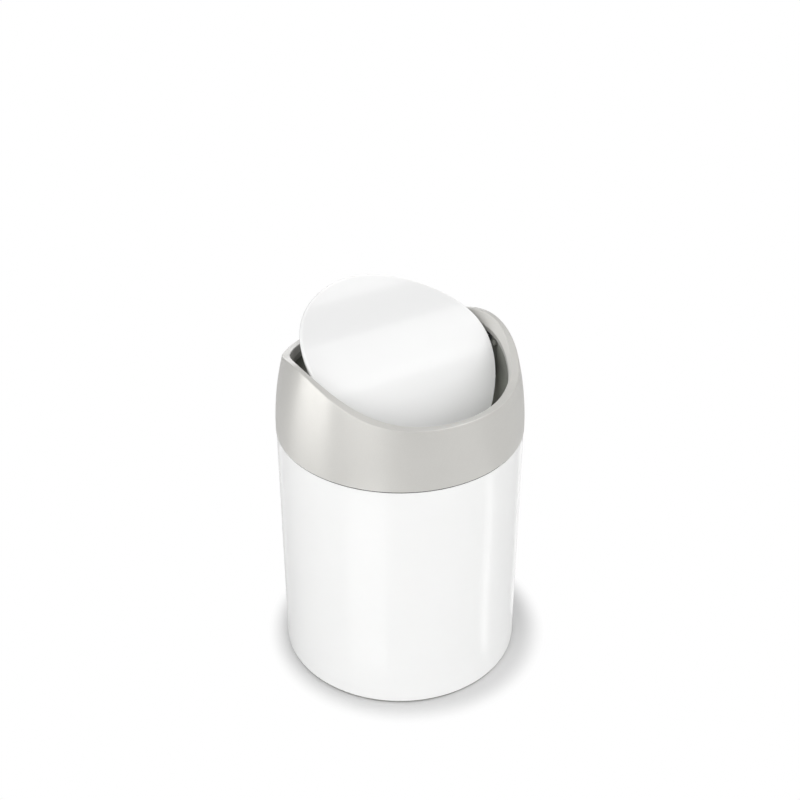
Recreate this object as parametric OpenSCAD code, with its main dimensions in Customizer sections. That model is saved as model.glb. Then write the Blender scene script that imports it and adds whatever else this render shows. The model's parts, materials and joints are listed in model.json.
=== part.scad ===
// Countertop trash can with a swing lid.
// +X runs along the flap's pivot axis, -Y is the front and +Z is up.
// The origin is the centre of the can on the surface that it stands on.
// The flap is drawn level and then swung front edge down, as it is stored.

/* [Body] */
// Outside diameter of the painted tube
body_d = 124; // [116:1:136]
// Height of the painted tube
body_h = 130.9; // [110:0.1:170]
// Thickness of the tube's and the bottom's sheet
sheet_t = 0.8; // [0.5:0.1:1.2]
// Width of the hem rolled inwards round the mouth
mouth_hem_w = 2.4; // [1.8:0.1:3]
// Height of the hem round the mouth
mouth_hem_h = 3; // [2:0.5:5]
// Width of the curl round the tube's lower edge
foot_curl_w = 1.8; // [1.4:0.1:2.6]
// Height of the curl round the tube's lower edge
foot_curl_h = 2.5; // [2:0.5:4]
// Rounding of the tube's outer edges
tube_edge_r = 0.4; // [0.3:0.1:1]

/* [Base] */
// Height of the tube's lower edge above the surface
foot_lift = 0.8; // [0.6:0.1:1.5]
// Height of the bottom's flange, which stands on the lower curl
pan_flange_h = 5; // [3:0.5:9]
// Depth of the round dish pressed into the bottom
pan_dish = 1.2; // [0.6:0.1:2]
// Width of the flat round the dish
pan_rim_w = 8; // [6:0.5:14]
// Width of the plastic base ring under the bottom
base_ring_w = 11; // [10:0.5:16]
// Thickness of the base ring's floor
base_ring_t = 2.4; // [1.8:0.1:3]
// Thickness of the base ring's wall inside the tube
base_wall_t = 2.5; // [2:0.1:4]
// How far the base ring stands back from the tube's outside
base_ring_back = 0.5; // [0.3:0.1:1.2]
// Diameter of each foot pad
pad_d = 8; // [5:0.5:9]
// Thickness of each foot pad
pad_t = 1.5; // [1.2:0.1:1.8]
// How far the pads stand out below the base ring
pad_proud = 0.3; // [0.2:0.05:0.5]
// Number of foot pads
pad_count = 4; // [3:1:6]

/* [Collar] */
// Thickness of the gasket between the tube and the collar
gasket_t = 0.6; // [0.4:0.1:1]
// Width of the gasket
gasket_w = 1.3; // [0.8:0.1:1.5]
// How far the collar stands out past the tube at the seam
collar_proud = 0.3; // [0:0.1:1]
// Radius of the arc that curves the collar's outside inwards
collar_arc_r = 156; // [130:1:220]
// Mean height of the rim above the seam
rim_rise = 38.3; // [34:0.1:44]
// Height of the rim's wave above and below its mean
rim_wave = 7.5; // [5:0.1:9]
// Thickness of the collar's wall
collar_t = 2.2; // [1.6:0.1:2.8]
// Width of the rim's land at the pivots
land_side = 4; // [3.4:0.1:5]
// Width of the rim's land at the front and the back
land_front = 3.2; // [2.8:0.1:4.5]
// Depth of the lip inside the rim at the pivots
lip_side = 8.7; // [7:0.1:9]
// Depth of the lip inside the rim at the front and the back
lip_front = 7; // [3:0.1:8]
// Thickness of the lip in front of the bearings
lip_skin_t = 1; // [0.8:0.1:1.4]

/* [Sleeve] */
// How far the sleeve's plug reaches down into the tube
plug_depth = 14; // [8:0.5:25]
// Wall of the plug and of the throat where the sleeve is cored out
sleeve_wall = 1.8; // [1.4:0.1:2.4]
// How far the throat stands back from the lip above it
throat_back = 0.4; // [0.2:0.1:0.8]
// Height of the radial collar screws above the seam
joint_screw_z = 10; // [6:0.5:14]
// Height of the bosses inside the collar's wall that take these screws
joint_boss_h = 2; // [1.4:0.1:2.6]
// Depth of these screws in the collar's wall past the bosses
joint_bite = 0.8; // [0.4:0.1:1]
// Solid band of the sleeve between its hollow and the bearing blocks
core_cap_t = 3; // [2:0.5:5]

/* [Flap] */
// Gap between the flap and the rim's land at the pivots
flap_gap_side = 2.1; // [1.6:0.1:3]
// Gap between the flap and the rim's land at the front and the back
flap_gap_front = 1.4; // [1.4:0.1:3]
// How far the flap's crest lies below the rim's peaks when level
flap_sink = 5.5; // [4.5:0.1:7]
// Height of the flap's wave above and below its mean
flap_wave = 7; // [5:0.1:7.2]
// Thickness of the flap's sheet
skin_t = 0.8; // [0.5:0.1:1.2]
// Width of the hem round the flap's edge
skin_hem_w = 1.6; // [1.2:0.1:2.2]
// Height of the hem round the flap's edge
skin_hem_h = 1.6; // [1.3:0.1:1.7]
// Thickness of the moulded tray under the sheet
tray_t = 1.6; // [1.2:0.1:2]
// Height of the rib round the tray's edge
tray_rib_h = 3.5; // [2:0.1:4]
// Width of the rib round the tray's edge
tray_rib_w = 1.4; // [1.2:0.1:2.2]
// Depth of the pivot axis below the flap's crest
pivot_depth = 5.2; // [4.8:0.1:6]
// Angle of the stored flap, front edge down
flap_tilt = 36.3; // [0:0.1:50]
// Largest swing of the flap to either side of level
swing_max = 60; // [50:1:62]

/* [Pivot] */
// Diameter of the pivot pins
pin_d = 4; // [3:0.1:4.6]
// Length of the tray's bosses that hold the pins
boss_l = 10; // [7:0.5:14]
// Wall of the bearing bushes
bush_wall = 0.8; // [0.7:0.1:1]
// Thickness of the bushes' flanges
bush_flange_t = 0.8; // [0.6:0.1:1.2]
// Width of the bushes' flanges past their barrels
bush_flange_w = 0.8; // [0.6:0.1:1]
// Wall of the bearing ears round the bushes
ear_w = 1.2; // [1:0.1:1.5]
// Thickness of the clips in the pins' grooves
clip_t = 0.8; // [0.5:0.1:1]
// Width of the clips past the pins
clip_w = 0.7; // [0.5:0.1:1]
// Depth of the grooves
groove_depth = 0.5; // [0.3:0.1:0.7]
// Distance of the clips from the flap's edge
clip_gap = 0.6; // [0.4:0.1:0.8]
// Thickness of the bearing blocks
block_t = 2.8; // [2.6:0.1:3.2]
// How far the bearing blocks reach down below the pivot axis
block_drop = 20; // [18:0.5:23]
// Height of the block screws above the blocks' lower ends
block_screw_up = 4; // [3:0.1:5]
// Depth of the block screws in the sleeve
block_bite = 2.6; // [1.8:0.1:3]
// Diameter of the small screws' shanks
screw_d = 2.5; // [2:0.1:2.9]
// Diameter of the small screws' heads
screw_head_d = 4.6; // [4:0.1:5.5]
// Height of the small screws' heads
screw_head_h = 1.3; // [1:0.1:1.6]

/* [Stops] */
// Diameter of the pegs on the flap
peg_d = 3; // [2.4:0.1:3.4]
// Distance between the pegs and the bushes' flanges
peg_gap = 3.2; // [2.8:0.1:3.6]
// Outside diameter of the rubber bumpers
bumper_d = 3.2; // [2.8:0.1:3.8]
// Diameter of the posts that carry the bumpers
post_d = 1.6; // [1.2:0.1:2]
// Distance of the bumpers from the flap's edge
bumper_gap = 0.5; // [0.4:0.1:0.8]
// Width of the blocks past the bumpers
block_edge_w = 0.8; // [0.5:0.1:1.5]
// Thickness of the cheeks that carry the pegs
cheek_t = 3; // [2:0.1:4]
// Width of the cheeks past the pegs
cheek_edge_w = 1.7; // [1:0.1:2]

/* [Weight] */
// Length of the counterweight bar
weight_l = 68; // [58:1:72]
// Width of the counterweight bar
weight_w = 14; // [10:0.5:18]
// Thickness of the counterweight bar
weight_t = 5; // [3:0.5:7]
// Depth of the bar's upper face below the pivot axis
weight_drop = 16; // [14:0.5:18]
// Distance between the two hangers that carry the bar
hanger_pitch = 44; // [34:1:46]
// Thickness of the hangers
hanger_t = 7; // [6:0.5:9]
// How far the hangers stand back from the bar's long sides
hanger_back = 2; // [0:0.5:2]
// Depth of the screws in the hangers
hanger_bite = 7; // [5:0.5:10]
// Diameter of the weld studs under the sheet
stud_d = 3; // [2.4:0.1:3.6]
// Distance between the studs along the pivot axis
stud_pitch_x = 50; // [40:1:54]
// Distance between the studs across the pivot axis
stud_pitch_y = 52; // [40:1:54]
// Wall of the small bosses round the studs and the screws
boss_wall = 2; // [1.6:0.1:2.4]
// Height of the stud bosses below the tray
stud_boss_h = 1.5; // [1:0.1:3]
// Width of the nuts' flats past the studs
nut_w = 1.6; // [1.2:0.1:2]
// Height of the nuts
nut_h = 2; // [1.6:0.1:2.6]
// Length of the studs past the nuts
stud_past = 1; // [0.5:0.1:2]

/* [Hidden] */
$fn = 96;

// Clearances
fit_gap = 0.2;       // between moulded pieces that are screwed together
slip_gap = 0.3;      // between pieces that slide or swing past each other
press_gap = 0.05;    // round pieces pressed or dropped into a seat
running_gap = 0.05;  // radial clearance of a pin in its bush
eps = 0.01;          // overshoot of a cut past the face that it opens
over = 1;            // overshoot of a cut through a whole piece

// Steps along the waves, the collar's arc and the ovals
wave_steps = 36;
arc_steps = 16;
oval_steps = 72;
reach = 80;          // half-length of the cutting prisms, past every outside

// Body and base
body_r = body_d / 2;
tube_top = foot_lift + body_h;
mouth_r = body_r - mouth_hem_w;
inside_r = body_r - sheet_t;
pan_z = foot_lift + foot_curl_h + pan_flange_h;
pan_r = inside_r - press_gap;
ring_z = pad_proud;
ring_r = body_r - foot_curl_w - fit_gap;
ring_in_r = ring_r - base_ring_w;
ring_rim_r = body_r - base_ring_back;
pad_place_r = ring_in_r + base_ring_w / 2;

// Collar
seam_z = tube_top + gasket_t;
seam_r = body_r + collar_proud;
rim_mid = seam_z + rim_rise;
rim_high = rim_mid + rim_wave;
rim_low = rim_mid - rim_wave;
function collar_r(z) = seam_r - collar_arc_r + sqrt(pow(collar_arc_r, 2) - pow(z - seam_z, 2));
wave_half = collar_r(rim_low);   // the rim's wave is lowest where it meets the front and the back
mouth_x = collar_r(rim_high) - land_side;
mouth_y = collar_r(rim_low) - land_front;
lip_high = rim_high - lip_side;
lip_low = rim_low - lip_front;
throat_x = mouth_x + throat_back;
throat_y = mouth_y + throat_back;
plug_r = mouth_r - slip_gap;
plug_z = tube_top - plug_depth;

// Flap
flap_x = mouth_x - flap_gap_side;
flap_y = mouth_y - flap_gap_front;
crest_z = rim_high - flap_sink;
pivot_z = crest_z - pivot_depth;
tray_x = flap_x - skin_hem_w - press_gap;
tray_y = flap_y - skin_hem_w - press_gap;
tray_z = crest_z - skin_t - tray_t;

// Pivot, from the flap outwards
pin_r = pin_d / 2;
boss_r = pivot_depth - skin_t - press_gap;
clip_r = pin_r + clip_w;
clip_x = flap_x + clip_gap;
groove_r = pin_r - groove_depth;
bush_r = pin_r + running_gap + bush_wall;
bush_flange_r = bush_r + bush_flange_w;
ear_r = bush_r + ear_w;
bump_x = flap_x + bumper_gap;
block_x = mouth_x + lip_skin_t + fit_gap;
block_back = block_x + block_t;
bush_end = collar_r(pivot_z + bush_r) - collar_t - 2 * fit_gap;
pin_start = tray_x - boss_l + over;

// Stops: a peg on each side of the flap swings between two bumpers
peg_r = peg_d / 2;
bumper_r = bumper_d / 2;
post_r = post_d / 2;
stop_r = bush_flange_r + peg_gap + peg_r;
stop_step = 2 * asin((peg_r + bumper_r + slip_gap) / (2 * stop_r));
stop_angle = swing_max + stop_step;
block_w = 2 * (stop_r + bumper_r + block_edge_w);
block_z = pivot_z - block_drop;
block_screw_z = block_z + block_screw_up;
block_screw_y = block_w / 4;
cheek_r = peg_r + cheek_edge_w;

// Screws, weight and studs
screw_r = screw_d / 2;
screw_head_r = screw_head_d / 2;
joint_boss_r = screw_r + boss_wall;
hanger_w = weight_w - 2 * hanger_back;
weight_z = pivot_z - weight_drop;
weight_low = weight_z - weight_t;
stud_r = stud_d / 2;
stud_boss_r = stud_r + boss_wall;
nut_r = stud_r + nut_w;

// Heights of the rim, of the lip's lower edge and of the flap's upper face at a distance from the axis
function wave(y) = cos(180 * y / wave_half);
function rim_at(y) = rim_mid + rim_wave * wave(y);
function lip_at(y) = (lip_high + lip_low) / 2 + (lip_high - lip_low) / 2 * wave(y);
function flap_at(y) = crest_z - flap_wave * (1 - wave(y));
function across(i) = wave_half * (2 * i / wave_steps - 1);
stud_face_z = flap_at(stud_pitch_y / 2 + stud_boss_r) - skin_t - tray_t - stud_boss_h;

// Solid of revolution from the seam up to the rim, a given distance inside the collar's outside
module collar_solid(inset) {
    top = rim_high + over;
    rotate_extrude()
        polygon(concat([[0, seam_z]],
            [for (i = [0:arc_steps]) let (z = seam_z + (top - seam_z) * i / arc_steps) [collar_r(z) - inset, z]],
            [[0, top]]));
}

// Outline in Y and Z carried along X
module along_x(x0, x1) {
    translate([x0, 0, 0]) rotate([90, 0, 90]) linear_extrude(x1 - x0) children();
}

// Everything below the rim
module under_rim() {
    along_x(-reach, reach)
        polygon(concat([[-reach, 0], [-reach, rim_low]], [for (i = [0:wave_steps]) [across(i), rim_at(across(i))]],
            [[reach, rim_low], [reach, 0]]));
}

// Everything below the lip's lower edge, lowered by a distance
module under_lip(drop) {
    along_x(-reach, reach)
        polygon(concat([[-reach, 0], [-reach, lip_low - drop]],
            [for (i = [0:wave_steps]) [across(i), lip_at(across(i)) - drop]], [[reach, lip_low - drop], [reach, 0]]));
}

// Wavy sheet of the flap between two depths below its upper face
module flap_band(top, bottom) {
    along_x(-reach, reach)
        polygon(concat([for (i = [0:wave_steps]) [across(i), flap_at(across(i)) - top]],
            [for (i = [wave_steps:-1:0]) [across(i), flap_at(across(i)) - bottom]]));
}

// Everything between a level and a depth below the flap's upper face
module under_flap(depth, level) {
    along_x(-reach, reach)
        polygon(concat([[-wave_half, level]], [for (i = [0:wave_steps]) [across(i), flap_at(across(i)) - depth]],
            [[wave_half, level]]));
}

// Upright oval prism with half-widths along X and Y
module oval(x, y, z0, z1) {
    translate([0, 0, z0]) linear_extrude(z1 - z0)
        polygon([for (i = [0:oval_steps - 1]) let (a = 360 * i / oval_steps) [x * cos(a), y * sin(a)]]);
}

// Round bar along X, centred a distance below the pivot axis after a turn about it
module bar_x(r, x0, x1, radius = 0, turn = 0) {
    translate([x0, radius * sin(turn), pivot_z - radius * cos(turn)]) rotate([0, 90, 0]) cylinder(r = r, h = x1 - x0);
}

// Flat ring
module ring(r_out, r_in, z0, z1) {
    translate([0, 0, z0]) difference() {
        cylinder(r = r_out, h = z1 - z0);
        translate([0, 0, -eps]) cylinder(r = r_in, h = z1 - z0 + 2 * eps);
    }
}

// Left and right copies about the middle
module both_sides() {
    children();
    mirror([1, 0, 0]) children();
}

// The flap's pieces, swung from level to the stored angle
module swung() {
    translate([0, 0, pivot_z]) rotate([flap_tilt, 0, 0]) translate([0, 0, -pivot_z]) children();
}

// Four radial places of the screws that hold the collar to its sleeve
module joint_places() {
    for (a = [45:90:315]) rotate([0, 0, a]) translate([0, 0, seam_z + joint_screw_z]) rotate([0, 90, 0]) children();
}
joint_r = collar_r(seam_z + joint_screw_z) - collar_t;          // inside of the collar's wall at the screws
joint_face_r = joint_r - joint_boss_h - fit_gap - sleeve_wall;  // flat that the screw heads sit on

// Four upright places of the studs
module stud_places() {
    for (x = [-1, 1], y = [-1, 1]) translate([x * stud_pitch_x / 2, y * stud_pitch_y / 2, 0]) children();
}

module body_tube() {
    chamfer = tube_edge_r / 2;
    bevel = tube_edge_r * 0.3;
    color([0.94, 0.94, 0.93])
        rotate_extrude()
            polygon([[body_r - foot_curl_w, foot_lift], [body_r - chamfer, foot_lift], [body_r, foot_lift + chamfer],
                [body_r, tube_top - tube_edge_r], [body_r - bevel, tube_top - bevel], [body_r - tube_edge_r, tube_top],
                [mouth_r + chamfer, tube_top], [mouth_r, tube_top - chamfer], [mouth_r, tube_top - mouth_hem_h],
                [inside_r, tube_top - mouth_hem_h], [inside_r, foot_lift + foot_curl_h],
                [body_r - foot_curl_w, foot_lift + foot_curl_h]]);
}

module bottom_pan() {
    dish_r = pan_r - pan_rim_w;
    color([0.62, 0.63, 0.62])
        rotate_extrude()
            polygon([[0, pan_z - pan_dish], [dish_r, pan_z - pan_dish], [dish_r + 2 * pan_dish, pan_z],
                [pan_r - sheet_t, pan_z], [pan_r - sheet_t, pan_z - pan_flange_h], [pan_r, pan_z - pan_flange_h],
                [pan_r, pan_z + sheet_t], [dish_r + 2 * pan_dish - sheet_t / 2, pan_z + sheet_t],
                [dish_r - sheet_t / 2, pan_z - pan_dish + sheet_t], [0, pan_z - pan_dish + sheet_t]]);
}

module base_ring() {
    wall_r = ring_r - base_wall_t;
    color([0.24, 0.24, 0.23])
        difference() {
            rotate_extrude()
                polygon([[ring_in_r, ring_z], [ring_rim_r, ring_z], [ring_rim_r, foot_lift], [ring_r, foot_lift],
                    [ring_r, pan_z - press_gap], [wall_r, pan_z - press_gap], [wall_r, ring_z + base_ring_t],
                    [ring_in_r, ring_z + base_ring_t]]);
            pad_places() translate([0, 0, -eps]) cylinder(d = pad_d + 2 * press_gap, h = pad_t + eps);
        }
}

// Places of the foot pads round the base ring
module pad_places() {
    for (i = [0:pad_count - 1]) rotate([0, 0, 45 + 360 * i / pad_count]) translate([pad_place_r, 0, 0]) children();
}

module foot_pads() {
    color([0.16, 0.16, 0.16]) pad_places() cylinder(d = pad_d, h = pad_t);
}

module seam_gasket() {
    color([0.22, 0.22, 0.21]) ring(body_r - tube_edge_r, body_r - tube_edge_r - gasket_w, tube_top, seam_z);
}

module collar_shell() {
    color([0.8, 0.8, 0.78])
        difference() {
            union() {
                difference() {
                    intersection() {
                        collar_solid(0);
                        under_rim();
                    }
                    oval(mouth_x, mouth_y, 0, rim_high + over);
                    intersection() {
                        translate([0, 0, -eps]) collar_solid(collar_t);
                        under_lip(0);
                    }
                }
                joint_places() cylinder_from(joint_r - joint_boss_h, joint_r + over, joint_boss_r);
            }
            joint_places() cylinder(r = screw_r, h = joint_r + joint_bite);
            both_sides() intersection() {
                bar_x(ear_r + fit_gap, block_x - fit_gap, block_back + over);
                collar_solid(collar_t);
            }
            both_sides() bar_x(pin_r + slip_gap, mouth_x - over, block_x);
        }
}

module collar_sleeve() {
    color([0.4, 0.41, 0.38])
        difference() {
            union() {
                intersection() {
                    collar_solid(collar_t + fit_gap);
                    under_lip(fit_gap);
                }
                cylinder_from(plug_z, seam_z + eps, plug_r);
            }
            oval(throat_x, throat_y, 0, rim_high);
            sleeve_core();
            both_sides()
                translate([0, -block_w / 2 - fit_gap, block_z - fit_gap])
                    cube([block_back + fit_gap, block_w + 2 * fit_gap, reach]);
            joint_places() cylinder(r = joint_boss_r + fit_gap, h = joint_face_r);
            joint_places() cylinder(r = screw_r + fit_gap, h = reach);
            joint_places() cylinder_from(joint_r - joint_boss_h - fit_gap, reach, joint_boss_r + fit_gap);
            both_sides() block_screw_places() cylinder(r = screw_r, h = block_t + block_bite);
        }
}

// Hollow between the plug's wall and the throat's wall, open at the bottom
module sleeve_core() {
    core_top = block_z - core_cap_t;
    difference() {
        cylinder_from(plug_z - eps, core_top, plug_r - sleeve_wall);
        oval(throat_x + sleeve_wall, throat_y + sleeve_wall, 0, core_top + over);
        joint_places() cylinder(r = joint_boss_r + sleeve_wall, h = reach);
    }
}

// Screws that hold the collar to the sleeve, driven outwards from the throat
module collar_screws() {
    color([0.7, 0.7, 0.7])
        joint_places() {
            cylinder_from(joint_face_r - screw_head_h, joint_face_r, screw_head_r);
            cylinder_from(joint_face_r - eps, joint_r + joint_bite - fit_gap, screw_r);
        }
}

// Upright cylinder between two heights
module cylinder_from(z0, z1, r) {
    translate([0, 0, z0]) cylinder(r = r, h = z1 - z0);
}

// Screw places in the right bearing block, pointing outwards
module block_screw_places() {
    for (y = [-1, 1]) translate([block_x, y * block_screw_y, block_screw_z]) rotate([0, 90, 0]) children();
}

// Plate with an ear round the bush and posts for the bumpers, behind the lip on the right
module bearing_block() {
    color([0.4, 0.41, 0.38])
        difference() {
            intersection() {
                union() {
                    intersection() {
                        translate([block_x, -block_w / 2, block_z]) cube([block_t, block_w, block_drop + ear_r]);
                        under_lip(2 * fit_gap);
                    }
                    bar_x(ear_r, block_x, block_back);
                    for (s = [-1, 1]) bar_x(post_r, bump_x + slip_gap, block_x + over, stop_r, s * stop_angle);
                }
                collar_solid(collar_t + fit_gap);
            }
            bar_x(bush_r + press_gap, block_x - over, block_back + over);
            bar_x(bush_flange_r + press_gap, block_x - over, block_x + bush_flange_t);
            block_screw_places() cylinder_from(-over, block_t + over, screw_r);
        }
}

module bearing_right() {
    bearing_block();
}

module bearing_left() {
    mirror([1, 0, 0]) bearing_block();
}

module bearing_screws() {
    color([0.7, 0.7, 0.7])
        both_sides() block_screw_places() {
            cylinder_from(-screw_head_h, 0, screw_head_r);
            cylinder_from(-eps, block_t + block_bite - fit_gap, screw_r);
        }
}

// Bush of the right bearing, its flange sunk flush in the block
module bush() {
    color([0.35, 0.35, 0.34])
        difference() {
            union() {
                bar_x(bush_r, block_x, bush_end);
                bar_x(bush_flange_r, block_x, block_x + bush_flange_t);
            }
            bar_x(pin_r + running_gap, block_x - over, block_back + over);
        }
}

module bush_right() {
    bush();
}

module bush_left() {
    mirror([1, 0, 0]) bush();
}

module stop_bumpers() {
    color([0.36, 0.37, 0.34])
        both_sides() for (s = [-1, 1]) difference() {
            bar_x(bumper_r, bump_x, block_x, stop_r, s * stop_angle);
            bar_x(post_r + press_gap / 2, bump_x - over, block_x + over, stop_r, s * stop_angle);
        }
}

module flap_skin() {
    color([0.96, 0.96, 0.95])
        swung() union() {
            intersection() {
                flap_band(0, skin_t);
                oval(flap_x, flap_y, 0, rim_high);
            }
            intersection() {
                flap_band(skin_t / 2, skin_hem_h);
                difference() {
                    oval(flap_x, flap_y, 0, rim_high);
                    oval(flap_x - skin_hem_w, flap_y - skin_hem_w, -over, rim_high + over);
                }
            }
        }
}

module flap_tray() {
    boss_low = weight_z;
    color([0.55, 0.56, 0.54])
        swung() difference() {
            union() {
                intersection() {
                    flap_band(skin_t, skin_t + tray_t);
                    oval(tray_x, tray_y, 0, rim_high);
                }
                intersection() {
                    flap_band(skin_t, skin_t + tray_t + tray_rib_h);
                    difference() {
                        oval(tray_x, tray_y, 0, rim_high);
                        oval(tray_x - tray_rib_w, tray_y - tray_rib_w, -over, rim_high + over);
                    }
                }
                both_sides() {
                    bar_x(boss_r, tray_x - boss_l, tray_x);
                    tray_cheek();
                    tray_hanger();
                }
                intersection() {
                    stud_places() cylinder_from(stud_face_z, crest_z, stud_boss_r);
                    under_flap(skin_t + tray_t / 2, boss_low);
                }
            }
            both_sides() bar_x(pin_r, pin_start, tray_x + over);
            stud_places() cylinder_from(0, rim_high, stud_r + press_gap);
            both_sides() hanger_place() cylinder_from(weight_z - over, weight_z + hanger_bite + over, screw_r);
        }
}

// Plate beside the boss, which carries the stop peg
module tray_cheek() {
    translate([tray_x - cheek_t, -cheek_r, pivot_z - stop_r])
        cube([cheek_t, 2 * cheek_r, stop_r + pivot_depth - skin_t - tray_t / 2]);
    bar_x(cheek_r, tray_x - cheek_t, tray_x, stop_r);
    bar_x(peg_r, tray_x - eps, block_x - slip_gap, stop_r);
}

// Bracket that carries the counterweight
module tray_hanger() {
    translate([hanger_pitch / 2 - hanger_t / 2, -hanger_w / 2, weight_z])
        cube([hanger_t, hanger_w, tray_z + tray_t / 2 - weight_z]);
}

// Place of the screw in the right hanger
module hanger_place() {
    translate([hanger_pitch / 2, 0, 0]) children();
}

module skin_studs() {
    color([0.72, 0.72, 0.72])
        swung() intersection() {
            stud_places() cylinder_from(stud_face_z - nut_h - stud_past, crest_z, stud_r);
            under_flap(skin_t, 0);
        }
}

module stud_nuts() {
    color([0.72, 0.72, 0.72])
        swung() difference() {
            stud_places() translate([0, 0, stud_face_z - nut_h]) cylinder(r = nut_r / cos(30), h = nut_h, $fn = 6);
            stud_places() cylinder_from(0, rim_high, stud_r + press_gap);
        }
}

// Right pivot pin, grooved for its clip
module pivot_pin() {
    color([0.75, 0.75, 0.76])
        swung() difference() {
            bar_x(pin_r, pin_start, bush_end);
            difference() {
                bar_x(pin_r + over, clip_x - press_gap, clip_x + clip_t + press_gap);
                bar_x(groove_r, clip_x - over, clip_x + clip_t + over);
            }
        }
}

module pivot_pin_right() {
    pivot_pin();
}

module pivot_pin_left() {
    mirror([1, 0, 0]) pivot_pin();
}

module pin_clips() {
    slot_r = 0.8 * groove_r;
    color([0.5, 0.5, 0.5])
        swung() both_sides() difference() {
            bar_x(clip_r, clip_x, clip_x + clip_t);
            bar_x(groove_r + press_gap, clip_x - over, clip_x + clip_t + over);
            translate([clip_x - over, -slot_r, pivot_z - clip_r - over])
                cube([clip_t + 2 * over, 2 * slot_r, clip_r + over]);
        }
}

module counterweight() {
    end_r = weight_w / 2;
    color([0.45, 0.46, 0.47])
        swung() difference() {
            union() {
                translate([-weight_l / 2 + end_r, -end_r, weight_low]) cube([weight_l - weight_w, weight_w, weight_t]);
                both_sides() translate([weight_l / 2 - end_r, 0, 0]) cylinder_from(weight_low, weight_z, end_r);
            }
            both_sides() hanger_place() cylinder_from(weight_low - over, weight_z + over, screw_r + fit_gap);
        }
}

module counterweight_screws() {
    color([0.7, 0.7, 0.7])
        swung() both_sides() hanger_place() {
            cylinder_from(weight_low - screw_head_h, weight_low, screw_head_r);
            cylinder_from(weight_low - eps, weight_z + hanger_bite, screw_r);
        }
}

body_tube();
bottom_pan();
base_ring();
foot_pads();
seam_gasket();
collar_shell();
collar_sleeve();
collar_screws();
bearing_left();
bearing_right();
bearing_screws();
bush_left();
bush_right();
stop_bumpers();
flap_skin();
flap_tray();
skin_studs();
stud_nuts();
pivot_pin_left();
pivot_pin_right();
pin_clips();
counterweight();
counterweight_screws();
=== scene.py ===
"""Countertop trash can with a swing lid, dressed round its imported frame.

Lengths are metres in the frame's own axes: +X along the flap's pivot axis, -Y the front, +Z up.
Shapes are numpy surfaces: closed profiles turned or carried round the can's axis, and oval sheets.
"""
import json
import math

import bpy
import numpy as np
from bpy.props import FloatProperty, FloatVectorProperty, IntProperty, PointerProperty
from bpy.types import Operator, Panel, PropertyGroup
from mathutils import Euler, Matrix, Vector


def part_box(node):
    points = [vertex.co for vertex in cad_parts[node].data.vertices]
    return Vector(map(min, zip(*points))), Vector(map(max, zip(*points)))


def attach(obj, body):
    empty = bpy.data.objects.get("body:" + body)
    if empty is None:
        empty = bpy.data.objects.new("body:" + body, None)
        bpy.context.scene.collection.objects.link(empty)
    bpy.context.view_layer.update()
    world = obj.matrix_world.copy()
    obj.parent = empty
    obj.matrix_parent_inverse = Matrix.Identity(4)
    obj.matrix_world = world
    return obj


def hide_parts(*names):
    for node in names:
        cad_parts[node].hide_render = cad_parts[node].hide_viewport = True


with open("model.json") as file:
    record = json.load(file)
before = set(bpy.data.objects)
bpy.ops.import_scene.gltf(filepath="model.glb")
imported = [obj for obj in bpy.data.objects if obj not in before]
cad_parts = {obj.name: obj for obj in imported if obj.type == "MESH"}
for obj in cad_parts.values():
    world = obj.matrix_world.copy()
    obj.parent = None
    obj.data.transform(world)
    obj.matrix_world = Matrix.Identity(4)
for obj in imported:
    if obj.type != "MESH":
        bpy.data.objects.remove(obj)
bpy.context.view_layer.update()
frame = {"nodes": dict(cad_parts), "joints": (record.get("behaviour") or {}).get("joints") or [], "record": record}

bl_info = {
    "name": "Countertop trash can",
    "version": (1, 0, 0),
    "blender": (4, 5, 0),
    "location": "View3D > Sidebar > Can",
    "description": "Builds the dressed pieces of a countertop trash can with a swing lid",
    "category": "Add Mesh",
}

TUBE_LOW, TUBE_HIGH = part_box("body_tube")
SHELL_LOW, SHELL_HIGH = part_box("collar_shell")
GASKET_LOW, GASKET_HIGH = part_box("seam_gasket")
SWING = next(joint for joint in frame["joints"] if joint["name"] == "flap_swing")
SEAM_RADIUS = SHELL_HIGH.x
MM = 0.001
TURN = 2 * math.pi
MIDDLE = (0, 0, 0.1)  # what the lamps face
CREASE = math.radians(32)  # faces that meet at more than this keep a visible edge
EVEN = (1, 1, 1)


def length(name, description, default):
    """Length property in metres, given in millimetres."""
    return FloatProperty(name=name, description=description, default=default * MM, unit="LENGTH", precision=5)


def colour(name, description, default):
    """Linear colour property."""
    return FloatVectorProperty(name=name, description=description, default=default,
                               subtype="COLOR", min=0, max=1)


class TubeSizes(PropertyGroup):
    """Sizes of the painted tube and its gasket."""
    sheet: length("Sheet", "Thickness of the tube's sheet", 0.8)
    hem_width: length("Hem width", "Width of the hem rolled inwards round the mouth", 2.4)
    hem_height: length("Hem height", "Height of the hem round the mouth", 3.0)
    curl_width: length("Curl width", "Width of the curl round the lower edge", 1.8)
    curl_height: length("Curl height", "Height of the curl round the lower edge", 2.5)
    edge: length("Edge", "Rounding of the outer edges", 0.35)
    gasket: length("Gasket", "Distance from the tube's outside to the gasket's", 0.15)
    gasket_width: length("Gasket width", "Width of the gasket", 1.2)
    segments: IntProperty(name="Segments", description="Steps round the tube", default=256, min=24)


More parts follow.
